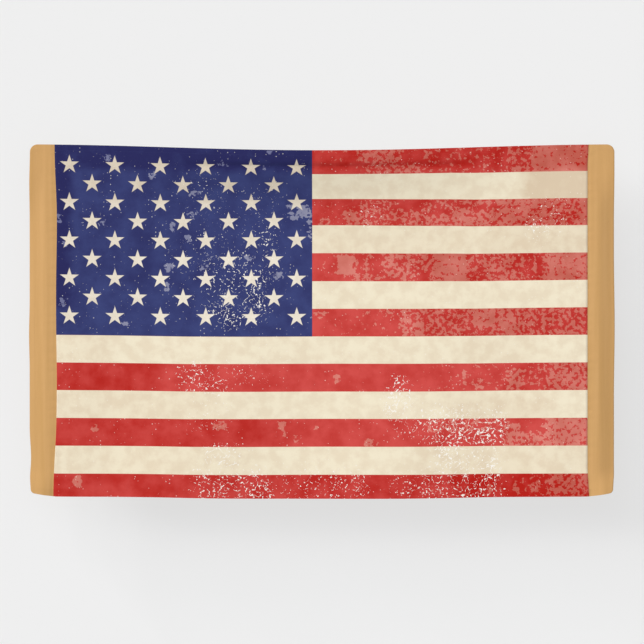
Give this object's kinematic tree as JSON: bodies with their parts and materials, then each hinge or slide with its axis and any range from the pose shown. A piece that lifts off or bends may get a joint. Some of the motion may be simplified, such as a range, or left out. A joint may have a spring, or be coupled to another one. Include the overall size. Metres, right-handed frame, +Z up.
{
  "type": "hanging printed flag banner",
  "caption": "Wide cloth banner printed with a weathered stars-and-stripes flag, plain tan band at each end, hanging from its upper corners.",
  "frame": {"origin": "middle of the top edge of the cloth, as it hangs", "axes": "+X along the width, to the right of someone facing the print; -Y out of the printed face; +Z up; the wall is on the +Y side"},
  "size_m": [1.5274, 0.0584, 0.9229],
  "materials": {
    "printed_cloth": "matt woven banner cloth, printed on the front with faded red, navy and cream, worn and stained",
    "tan_cloth": "matt woven cloth, plain golden tan"
  },
  "bodies": {
    "root": {"flag_panel": "printed_cloth", "band_left": "tan_cloth", "band_right": "tan_cloth"}
  },
  "joints": []
}
